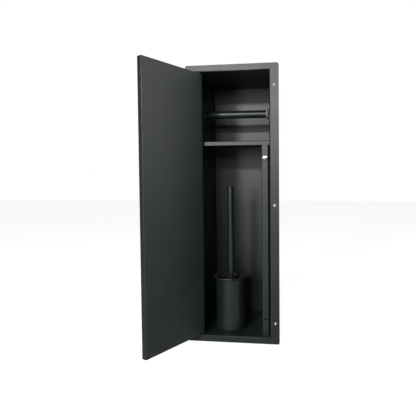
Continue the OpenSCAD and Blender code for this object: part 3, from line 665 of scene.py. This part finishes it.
def build_bristle_tree(material):
    tree = bpy.data.node_groups.new("Bristle Head", "GeometryNodeTree")
    for kind, labels in (
        ("NodeSocketInt", ("Tufts", "Strands", "Seed")),
        ("NodeSocketFloat", ("Turns", "Core Radius", "Head Radius", "Head Length", "Thickness", "Splay")),
    ):
        for label in labels:
            tree.interface.new_socket(label, in_out="INPUT", socket_type=kind)
    tree.interface.new_socket("Geometry", in_out="OUTPUT", socket_type="NodeSocketGeometry")
    add, link = tree.nodes.new, tree.links.new
    given, out = add("NodeGroupInput").outputs, add("NodeGroupOutput").inputs

    def calc(operation, *values):
        return worked(tree, operation, *values)

    def random_value(low, high, salt, kind="FLOAT"):
        """A value of its own for each point. salt keeps the draws apart."""
        node = add("FunctionNodeRandomValue")
        node.data_type = kind
        first, result = {"FLOAT": (2, 1), "FLOAT_VECTOR": (0, 0)}[kind]
        feed(tree, node.inputs[first], low)
        feed(tree, node.inputs[first + 1], high)
        link(calc("ADD", given["Seed"], float(salt)), node.inputs["Seed"])
        return node.outputs[result]

    # One strand: a line along Z that bows
    bow_share, strand_points = 0.07, 5
    line = add("GeometryNodeCurvePrimitiveLine")
    line.inputs["End"].default_value = (0, 0, 1)
    steps = add("GeometryNodeResampleCurve")
    steps.inputs["Count"].default_value = strand_points
    link(line.outputs["Curve"], steps.inputs["Curve"])
    along = add("GeometryNodeSplineParameter").outputs["Factor"]
    bow = add("ShaderNodeCombineXYZ")
    link(calc("MULTIPLY", calc("POWER", along, 2.0), bow_share), bow.inputs["X"])
    bent = add("GeometryNodeSetPosition")
    link(steps.outputs["Curve"], bent.inputs["Geometry"])
    link(bow.outputs[0], bent.inputs["Offset"])

    # The tufts' feet: a spiral round the core, cut into even steps
    points_per_turn = 48
    spiral = add("GeometryNodeCurveSpiral")
    spiral.inputs["Resolution"].default_value = points_per_turn
    for label, size in (("Rotations", "Turns"), ("Start Radius", "Core Radius"),
                        ("End Radius", "Core Radius"), ("Height", "Head Length")):
        link(given[size], spiral.inputs[label])
    feet = add("GeometryNodeCurveToPoints")
    feet.mode = "COUNT"
    link(spiral.outputs["Curve"], feet.inputs["Curve"])
    link(given["Tufts"], feet.inputs["Count"])

    # Each foot is used once for every strand of its tuft
    tuft_spread = Vector((0.0007, 0.0007, 0.0009))
    more = add("GeometryNodeDuplicateElements")
    more.domain = "POINT"
    link(feet.outputs["Points"], more.inputs["Geometry"])
    link(given["Strands"], more.inputs["Amount"])
    spread = add("GeometryNodeSetPosition")
    link(more.outputs["Geometry"], spread.inputs["Geometry"])
    link(random_value(-tuft_spread, tuft_spread, 1, "FLOAT_VECTOR"), spread.inputs["Offset"])

    # Where each foot stands along the head, from -1 at the lower end to 1 at the upper end
    place = split(tree, add("GeometryNodeInputPosition").outputs[0])
    share = calc("MULTIPLY", calc("DIVIDE", place["Z"], given["Head Length"]), 2.0)
    share = calc("SUBTRACT", share, 1.0)
    from_middle = calc("ABSOLUTE", share)

    # Outwards from the axis, fanned along it at both ends, with some stray
    fan_out, more_below = 0.18, 0.05
    fan = calc("MULTIPLY", calc("POWER", from_middle, 3.0), calc("SIGN", share))
    lean = calc("ADD", fan_out, calc("MULTIPLY", calc("LESS_THAN", share, 0.0), more_below))
    splay, minus_splay = given["Splay"], calc("MULTIPLY", given["Splay"], -1.0)
    heading = add("ShaderNodeCombineXYZ")
    for axis, outwards, salt in (
        ("X", calc("DIVIDE", place["X"], given["Core Radius"]), 2),
        ("Y", calc("DIVIDE", place["Y"], given["Core Radius"]), 3),
        ("Z", calc("MULTIPLY", fan, lean), 4),
    ):
        link(calc("ADD", outwards, random_value(minus_splay, splay, salt)), heading.inputs[axis])
    face_out = add("FunctionNodeAlignRotationToVector")
    face_out.axis = "Z"
    link(heading.outputs[0], face_out.inputs["Vector"])
    spin = add("FunctionNodeRotateRotation")
    spin.rotation_space = "LOCAL"
    link(face_out.outputs[0], spin.inputs[0])
    turn = add("ShaderNodeCombineXYZ")
    link(random_value(0.0, math.tau, 5), turn.inputs["Z"])
    link(turn.outputs[0], spin.inputs[1])

    # Length from core to head, shorter at both ends
    end_cut, shortest = 0.3, 0.9
    reach = calc("SUBTRACT", given["Head Radius"], given["Core Radius"])
    taper = calc("SUBTRACT", 1.0, calc("MULTIPLY", calc("POWER", from_middle, 4.0), end_cut))
    length = calc("MULTIPLY", calc("MULTIPLY", reach, taper), random_value(shortest, 1.0, 6))
    strands = add("GeometryNodeInstanceOnPoints")
    link(spread.outputs["Geometry"], strands.inputs["Points"])
    link(bent.outputs["Geometry"], strands.inputs["Instance"])
    link(spin.outputs[0], strands.inputs["Rotation"])
    link(length, strands.inputs["Scale"])
    real = add("GeometryNodeRealizeInstances")
    link(strands.outputs[0], real.inputs[0])

    # The strands' thickness, which thins towards each tip
    tip_thins, sides = 0.35, 4
    thin = add("GeometryNodeSetCurveRadius")
    link(real.outputs[0], thin.inputs["Curve"])
    link(calc("SUBTRACT", 1.0, calc("MULTIPLY", along, tip_thins)), thin.inputs["Radius"])
    ring = add("GeometryNodeCurvePrimitiveCircle")
    ring.inputs["Resolution"].default_value = sides
    link(calc("MULTIPLY", given["Thickness"], 0.5), ring.inputs["Radius"])
    body = add("GeometryNodeCurveToMesh")
    body.inputs["Fill Caps"].default_value = True
    link(thin.outputs[0], body.inputs["Curve"])
    link(ring.outputs["Curve"], body.inputs["Profile Curve"])
    paint = add("GeometryNodeSetMaterial")
    paint.inputs["Material"].default_value = material
    link(body.outputs["Mesh"], paint.inputs["Geometry"])
    whole = add("GeometryNodeRealizeInstances")
    link(paint.outputs[0], whole.inputs[0])
    link(whole.outputs[0], out["Geometry"])
    return tree


# Operators


class NICHE_OT_camera(bpy.types.Operator):
    """Make the camera at the photograph's viewing angle"""
    bl_idname = "niche.camera"
    bl_label = "Camera"

    def execute(self, context):
        view = context.scene.niche_camera
        data = bpy.data.cameras.new("camera")
        data.sensor_width = 36.0
        data.lens = view.lens
        data.shift_x, data.shift_y = view.shift
        data.clip_start = 0.01
        camera = add_object("camera", data)
        camera.location = view.at
        camera.rotation_euler = view.turn
        context.scene.camera = camera
        return {"FINISHED"}


class NICHE_OT_stage(bpy.types.Operator):
    """Make the white floor, the studio round the object and its lights"""
    bl_idname = "niche.stage"
    bl_label = "Stage"

    def rays(self, tree):
        """1 for what the camera sees, and 1 for what coat and metal mirror."""
        path = tree.nodes.new("ShaderNodeLightPath").outputs
        mirrors = worked(tree, "MAXIMUM", path["Is Glossy Ray"], path["Is Transmission Ray"])
        return path["Is Camera Ray"], mirrors

    def studio(self, light):
        """White for the camera, and for mirrors a white wall behind the object and a dark room in front."""
        wall_from, wall_to = -0.1, 0.15
        world = bpy.data.worlds.new("studio")
        bpy.context.scene.world = world
        world.use_nodes = True
        world.cycles.sampling_method = "NONE"
        tree = world.node_tree
        studio = tree.nodes["Background"].inputs
        studio["Color"].default_value = (1.0, 1.0, 1.0, 1.0)
        camera_sees, mirrored = self.rays(tree)
        heading = split(tree, tree.nodes.new("ShaderNodeTexCoord").outputs["Generated"])
        wall = ranged(tree, heading["Y"], wall_from, wall_to, 0.0, light.behind)
        seen = worked(tree, "MAXIMUM", camera_sees, worked(tree, "MULTIPLY", mirrored, wall))
        tree.links.new(worked(tree, "MAXIMUM", seen, light.room), studio["Strength"])

    def floor(self, light):
        """A pale floor that keeps the object's shadow and that mirrors see brighten behind the object."""
        gap_below, reach, camera_glow = 0.012, 6.0, 0.9
        glow_from, glow_to = 0.2, 0.7
        level = CAD_BOX[0][2] - gap_below
        mesh = bpy.data.meshes.new("floor")
        mesh.from_pydata([(x * reach, y * reach, level) for x, y in QUARTERS], [], [(0, 1, 2, 3)])
        floor = add_object("floor", mesh)
        material, tree, shader, place = start_material("pale_floor")
        shader["Base Color"].default_value = (0.75, 0.75, 0.75, 1.0)
        shader["Roughness"].default_value = 0.9
        shader["Specular IOR Level"].default_value = 0.1
        camera_sees, mirrored = self.rays(tree)
        shine = ranged(tree, split(tree, place)["Y"], glow_from, glow_to, light.ground, light.behind)
        glow = tree.nodes.new("ShaderNodeEmission")
        tree.links.new(worked(tree, "ADD", worked(tree, "MULTIPLY", camera_sees, camera_glow),
                              worked(tree, "MULTIPLY", mirrored, shine)), glow.inputs["Strength"])
        both = tree.nodes.new("ShaderNodeAddShader")
        tree.links.new(tree.nodes["Principled BSDF"].outputs[0], both.inputs[0])
        tree.links.new(glow.outputs[0], both.inputs[1])
        tree.links.new(both.outputs[0], tree.nodes["Material Output"].inputs["Surface"])
        mesh.materials.append(material)

    def lamp(self, name, beside, above, size, power):
        """A soft lamp, aimed at the niche from so many degrees beside and above its axis."""
        side, up = math.radians(beside), math.radians(above)
        middle = Vector((0.0, 0.0, 0.05))
        ray = Vector((math.sin(side) * math.cos(up), -math.cos(side) * math.cos(up), math.sin(up)))
        data = bpy.data.lights.new(name, "AREA")
        data.shape = "RECTANGLE"
        data.size, data.size_y = size
        data.energy = power
        lamp = add_object(name, data)
        lamp.location = middle + ray * settings().niche_light.distance
        lamp.rotation_euler = (-ray).to_track_quat("-Z", "Y").to_euler()
        lamp.visible_camera = False

    def execute(self, context):
        light = context.scene.niche_light
        self.studio(light)
        self.floor(light)
        strip = math.degrees(light.height)
        self.lamp("key_light", beside=-18, above=strip, size=(0.34, 0.12), power=light.key)
        self.lamp("front_light", beside=0, above=strip, size=(0.6, 0.12), power=light.front)
        self.lamp("low_light", beside=4, above=11, size=(0.6, 0.3), power=light.low)
        self.lamp("corner_light", beside=-20, above=4, size=(0.5, 0.4), power=light.corner)
        self.lamp("fill_light", beside=80, above=15, size=(1.0, 0.9), power=light.fill)
        context.scene.view_settings.view_transform = "Standard"
        return {"FINISHED"}


class NICHE_OT_finishes(bpy.types.Operator):
    """Make the powder coats, and put them on the coated pieces that keep their plain shape"""
    bl_idname = "niche.finishes"
    bl_label = "Finishes"

    def execute(self, context):
        build_coat_grain()
        build_dust()
        build_drawn_lines()
        flange = coated("coat_flange", shade=1.0, gloss_shift=0.0, dust=0.0)
        inside = coated("coat_inside", shade=0.95, gloss_shift=0.03, dust=0.05, boxed=True)
        coated("coat_door", shade=1.0, gloss_shift=0.02, dust=0.03)
        coated("coat_tube", shade=0.95, gloss_shift=-0.07, dust=0.0, relief=0.1)
        paint_nodes(inside, COATED_INSIDE)
        paint_nodes(flange, ("shelf_rivets",))
        return {"FINISHED"}


class NICHE_OT_hardware(bpy.types.Operator):
    """Finish the latch, screws, magnets, pivots and plastic pieces"""
    bl_idname = "niche.hardware"
    bl_label = "Hardware"

    def push_spring(self, steel):
        """The latch's spring, as a piece with a mesh of its own. The real spring gets shorter against the end
        cap as the plunger goes in; this piece keeps its length.
        """
        coil = welded("latch_spring")
        spring = new_piece("push_spring", coil, steel, "niche", "latch_spring")
        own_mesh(spring)

    def execute(self, context):
        chrome = plated("polished_chrome", colour=(0.78, 0.79, 0.81), rough=0.12, lines=(300.0, 20.0, 300.0))
        steel = plated("bright_steel", colour=(0.56, 0.57, 0.58), rough=0.3, lines=(200.0, 200.0, 3000.0))
        zinc = plated("zinc_plate", colour=(0.66, 0.67, 0.66), rough=0.36, lines=(900.0, 900.0, 900.0))
        nickel = plated("nickel_plate", colour=(0.66, 0.64, 0.6), rough=0.22, lines=(700.0, 700.0, 700.0))
        plastic = moulded("black_moulding", colour=(0.018, 0.018, 0.019), rough=0.4, relief=0.01,
                          bumps=1300.0, dust=0.03)
        rubber = moulded("foot_rubber", colour=(0.016, 0.016, 0.016), rough=0.75, relief=0.02, bumps=1500.0)
        paint_nodes(chrome, ("latch_barrel", "latch_plunger"))
        paint_nodes(steel, BRIGHT_STEEL)
        paint_nodes(zinc, ZINC_PLATED)
        paint_nodes(nickel, NICKEL_PLATED)
        paint_nodes(plastic, BLACK_MOULDINGS)
        paint_nodes(rubber, ("cup_foot_ring",))
        paint_nodes(board_material(), ("door_core",))
        self.push_spring(steel)
        return {"FINISHED"}


class NICHE_OT_flange(bpy.types.Operator):
    """Make the screw flange with its rolled inner edge and return lip"""
    bl_idname = "niche.flange"
    bl_label = "Flange"

    def execute(self, context):
        size = context.scene.niche_sheet
        low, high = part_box("front_frame")
        sheet, soft, roll = size.thickness, size.soft, size.roll
        front, back, lip_end = low.y, low.y + sheet, high.y
        corner_steps, bore_sides, bend_steps, chamfer = 6, 40, 8, 0.3
        shell = bmesh.new()

        def outline(inset, y):
            """A loop of the flange's outer edge, drawn in by inset."""
            ring = []
            radius = size.corner - inset
            for quarter, (sx, sz) in enumerate(QUARTERS):
                x, z = sx * (high.x - size.corner), sz * (high.z - size.corner)
                for k in range(corner_steps + 1):
                    a = math.pi / 2 * (quarter + k / corner_steps)
                    ring.append(shell.verts.new((x + radius * math.cos(a), y, z + radius * math.sin(a))))
            return ring

        def opening(grow, y):
            """A loop round the opening, let out by grow."""
            x, z = high.x - size.side + grow, high.z - size.end + grow
            return [shell.verts.new((x * sx, y, z * sz)) for sx, sz in QUARTERS]

        def bore(x, z, grow, y):
            """A loop round a screw hole, let out by grow."""
            r = size.hole / 2 + grow
            return ring_of(shell, bore_sides, lambda a: (x + r * math.cos(a), y, z + r * math.sin(a)))

        def curl(radius):
            """The rolled edge's bend at a radius, as distances from the opening and places in depth."""
            bend = [math.pi / 2 * k / bend_steps for k in range(bend_steps + 1)]
            return [(roll - radius * math.sin(a), front + roll - radius * math.cos(a)) for a in bend]

        # A cut edge through the sheet: how far it is drawn in or let out, and where
        edge = [(soft * (1 - math.sin(a)), soft * (1 - math.cos(a)))
                for a in (0, math.pi / 6, math.pi / 3, math.pi / 2)]
        cut = [(inset, front + deep) for inset, deep in edge]
        cut += [(inset, back - deep) for inset, deep in reversed(edge)]
        rim = [outline(inset, y) for inset, y in cut]
        stitch(shell, rim)
        section = curl(roll)
        section += [(0, lip_end - soft), (soft * chamfer, lip_end - soft * chamfer), (soft, lip_end),
                    (sheet - soft, lip_end), (sheet - soft * chamfer, lip_end - soft * chamfer),
                    (sheet, lip_end - soft)]
        section += reversed(curl(roll - sheet))
        lip = [opening(grow, y) for grow, y in section]
        stitch(shell, lip)
        fronts, backs = [rim[0], lip[0]], [rim[-1], lip[-1]]
        column, end = high.x - size.hole_in, high.z - size.hole_end
        for x in (-column, column):
            for z in (-end, 0.0, end):
                rings = [bore(x, z, grow, y) for grow, y in cut]
                stitch(shell, rings)
                fronts.append(rings[0])
                backs.append(rings[-1])
        fill_flat(shell, fronts)
        fill_flat(shell, backs)
        coat = bpy.data.materials["coat_flange"]
        new_piece("flange_sheet", shell, coat, "niche", "front_frame")
        return {"FINISHED"}


class NICHE_OT_sheets(bpy.types.Operator):
    """Round the cut edges of the shelf, the latch post and the door's two skins"""
    bl_idname = "niche.sheets"
    bl_label = "Folded Sheets"

    def execute(self, context):
        soft = context.scene.niche_sheet.soft
        coat = bpy.data.materials
        softened("shelf_sheet", "shelf", "niche", soft, coat["coat_flange"])
        softened("post_sheet", "latch_post", "niche", soft, coat["coat_flange"])
        softened("door_skin", "door_tray", "door", soft, coat["coat_door"])
        softened("door_face", "door_front_panel", "door", soft, coat["coat_door"])
        return {"FINISHED"}


class NICHE_OT_bar(bpy.types.Operator):
    """Turn the roll bar's tube and its end disc"""
    bl_idname = "niche.bar"
    bl_label = "Roll Bar"

    def execute(self, context):
        low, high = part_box("roll_bar")
        plug_low, plug_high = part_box("bar_bushing")
        disc_low, disc_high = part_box("bar_end_disc")
        centre = ((low.y + high.y) / 2, (low.z + high.z) / 2)
        r, bore = (high.z - low.z) / 2, (plug_high.z - plug_low.z) / 2
        left_edge, right_edge, bore_edge = 0.0004, 0.0002, 0.0002
        turned("bar_tube", [(r, low.x, left_edge), (r, high.x, right_edge), (bore, high.x, 0),
                            (bore, low.x, bore_edge)],
               centre, "X", bpy.data.materials["coat_tube"], "bar", "roll_bar")
        disc = (disc_high.z - disc_low.z) / 2
        front_edge, back_edge, plug_edge = 0.0008, 0.0006, 0.0005
        matt = plated("matt_zinc", colour=(0.5, 0.5, 0.48), rough=0.76, lines=(900.0, 900.0, 900.0))
        turned("end_disc", [(0, disc_high.x, 0), (disc, disc_high.x, front_edge), (disc, high.x, back_edge),
                            (bore, high.x, 0), (bore, disc_low.x, plug_edge), (0, disc_low.x, 0)],
               centre, "X", matt, "bar", "bar_end_disc", closed=False)
        return {"FINISHED"}


class NICHE_OT_cup(bpy.types.Operator):
    """Turn the brush cup and its flared plastic liner"""
    bl_idname = "niche.cup"
    bl_label = "Brush Cup"

    def execute(self, context):
        size = context.scene.niche_cup
        low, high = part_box("cup_shell")
        foot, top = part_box("cup_liner")
        centre = ((low.x + high.x) / 2, (low.y + high.y) / 2)
        r, wall = (high.x - low.x) / 2, size.wall
        foot_edge, rim_edge = 2 * wall, 0.0002
        turned("cup_body", [(0, low.z, 0), (r, low.z, foot_edge), (r, high.z, rim_edge),
                            (r - wall, high.z, rim_edge), (r - wall, low.z + wall, 0), (0, low.z + wall, 0)],
               centre, "Z", bpy.data.materials["coat_tube"], "cup", "cup_shell", closed=False)
        rim = (top.x - foot.x) / 2
        outer = r - wall - size.gap
        inner = outer - size.liner
        flare_steps, rim_share = 20, 0.4

        def flare(r0, r1, z0, z1):
            """The collar's turn outwards, from upright at r0, z0 to its edge at r1, z1."""
            turns = [size.flare * k / flare_steps for k in range(flare_steps + 1)]
            return [(r0 + (r1 - r0) * (1 - math.cos(a)) / (1 - math.cos(size.flare)),
                     z0 + (z1 - z0) * math.sin(a) / math.sin(size.flare), 0) for a in turns]

        outside = flare(r, rim, high.z, top.z - size.rim)
        inside = flare(inner, rim - size.rim * rim_share, high.z, top.z)
        under_edge, over_edge, base_edge, floor_edge = 0.0004, 0.0005, 0.0008, 0.001
        outside[-1] = (*outside[-1][:2], under_edge)
        inside[-1] = (*inside[-1][:2], over_edge)
        turned("cup_lining", [(0, foot.z, 0), (outer, foot.z, base_edge), (outer, high.z, 0),
                              *outside, *reversed(inside),
                              (inner, foot.z + size.liner, floor_edge), (0, foot.z + size.liner, 0)],
               centre, "Z", bpy.data.materials["black_moulding"], "cup", "cup_liner",
               closed=False)
        return {"FINISHED"}


class NICHE_OT_handle(bpy.types.Operator):
    """Turn the brush's handle and its cap"""
    bl_idname = "niche.handle"
    bl_label = "Brush Handle"

    def execute(self, context):
        low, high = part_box("brush_handle")
        foot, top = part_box("handle_cap")
        centre = ((low.x + high.x) / 2, (low.y + high.y) / 2)
        r = (high.x - low.x) / 2
        bore = r - context.scene.niche_cup.tube
        foot_edge, seam_edge, bore_edge = 0.0003, 0.0001, 0.0002
        plug_edge, top_edge = 0.0004, 0.0012
        coat = bpy.data.materials["coat_tube"]
        turned("handle_tube", [(r, low.z, foot_edge), (r, high.z, seam_edge), (bore, high.z, 0),
                               (bore, low.z, bore_edge)],
               centre, "Z", coat, "brush", "brush_handle")
        turned("handle_top", [(0, foot.z, 0), (bore, foot.z, plug_edge), (bore, high.z, 0),
                              (r, high.z, seam_edge), (r, top.z, top_edge), (0, top.z, 0)],
               centre, "Z", coat, "brush", "handle_cap", closed=False)
        return {"FINISHED"}


class NICHE_OT_bristles(bpy.types.Operator):
    """Grow the brush's bristles in tufts along a spiral round its core"""
    bl_idname = "niche.bristles"
    bl_label = "Bristles"

    # Bare ends of the head, and the thickness of the sleeve round the core
    bare_end = 0.003
    sleeve_wall = 0.0008

    def tufts(self, want, low, high, core):
        """The strands, kept above the floor of the cup and inside the brush's own outline."""
        floor_gap = 0.0004
        centre, head = (low + high) / 2, (high.x - low.x) / 2
        tree = build_bristle_tree(bristle_material())
        seat = add_object("bristle_tufts", bpy.data.meshes.new("bristle_tufts"))
        grow = seat.modifiers.new("bristles", "NODES")
        grow.node_group = tree
        given = {item.name: item.identifier for item in tree.interface.items_tree if item.in_out == "INPUT"}
        sizes = {
            "Turns": float(want.turns), "Tufts": want.tufts, "Strands": want.strands, "Core Radius": core,
            "Head Radius": head, "Head Length": high.z - low.z - 2 * self.bare_end,
            "Thickness": want.thickness, "Splay": want.splay, "Seed": want.seed,
        }
        for label, value in sizes.items():
            grow[given[label]] = value
        mesh = evaluated_mesh(seat)
        seat.modifiers.clear()
        mesh.transform(Matrix.Translation((centre.x, centre.y, low.z + self.bare_end)))
        for vertex in mesh.vertices:
            vertex.co.z = min(max(vertex.co.z, low.z + floor_gap), high.z)
            across = Vector((vertex.co.x - centre.x, vertex.co.y - centre.y, 0))
            if across.length > head:
                across = across.normalized() * head
                vertex.co.x, vertex.co.y = centre.x + across.x, centre.y + across.y
        seat.data = mesh
        return seat

    def sleeve(self, low, high, core):
        """The moulded sleeve that the tufts stand in, a rib at every other ring of points."""
        steps, sides, rib_height = 40, 40, 0.0002
        centre, length = (low + high) / 2, high.z - low.z - 2 * self.bare_end
        shell = bmesh.new()
        rings = []
        for i in range(steps + 1):
            z = low.z + self.bare_end + length * i / steps
            r = core + rib_height * (-1) ** i
            rings.append(ring_of(
                shell, sides, lambda a: (centre.x + r * math.cos(a), centre.y + r * math.sin(a), z)))
        stitch(shell, rings)
        shell.faces.new(rings[0][::-1])
        shell.faces.new(rings[-1])
        mesh = bpy.data.meshes.new("bristle_sleeve")
        shell.to_mesh(mesh)
        shell.free()
        mesh.materials.append(bpy.data.materials["black_moulding"])
        return add_object("bristle_sleeve", mesh)

    def execute(self, context):
        low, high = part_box("brush_bristles")
        core_low, core_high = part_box("brush_core")
        core = (core_high.x - core_low.x) / 2 + self.sleeve_wall
        tufts = self.tufts(context.scene.niche_bristles, low, high, core)
        sleeve = self.sleeve(low, high, core)
        for piece in (tufts, sleeve):
            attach(piece, "brush")
        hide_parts("brush_bristles")
        return {"FINISHED"}


class NICHE_PT_panel(bpy.types.Panel):
    """Sizes, colours and steps of the niche"""
    bl_label = "Niche"
    bl_idname = "NICHE_PT_panel"
    bl_space_type = "VIEW_3D"
    bl_region_type = "UI"
    bl_category = "Niche"

    def draw(self, context):
        for name in GROUPS:
            group = getattr(context.scene, name)
            box = self.layout.box()
            box.label(text=name.removeprefix("niche_").title())
            for key in group.__annotations__:
                box.prop(group, key)
        for step in STEPS:
            self.layout.operator(step)


STEPS = ("niche.camera", "niche.stage", "niche.finishes", "niche.hardware", "niche.flange", "niche.sheets",
         "niche.bar", "niche.cup", "niche.handle", "niche.bristles")
GROUPS = {
    "niche_sheet": NicheSheet,
    "niche_cup": NicheCup,
    "niche_coat": NicheCoat,
    "niche_bristles": NicheBristles,
    "niche_light": NicheLight,
    "niche_camera": NicheCamera,
}
CLASSES = (*GROUPS.values(), NICHE_OT_camera, NICHE_OT_stage, NICHE_OT_finishes, NICHE_OT_hardware,
           NICHE_OT_flange, NICHE_OT_sheets, NICHE_OT_bar, NICHE_OT_cup, NICHE_OT_handle, NICHE_OT_bristles,
           NICHE_PT_panel)


def register():
    for item in CLASSES:
        bpy.utils.register_class(item)
    for name, group in GROUPS.items():
        setattr(bpy.types.Scene, name, bpy.props.PointerProperty(type=group))


def unregister():
    for name in GROUPS:
        delattr(bpy.types.Scene, name)
    for item in reversed(CLASSES):
        bpy.utils.unregister_class(item)


def main():
    register()
    bpy.ops.niche.camera()
    bpy.ops.niche.stage()
    bpy.ops.niche.finishes()
    bpy.ops.niche.hardware()
    bpy.ops.niche.flange()
    bpy.ops.niche.sheets()
    bpy.ops.niche.bar()
    bpy.ops.niche.cup()
    bpy.ops.niche.handle()
    bpy.ops.niche.bristles()


if __name__ == "__main__":
    main()
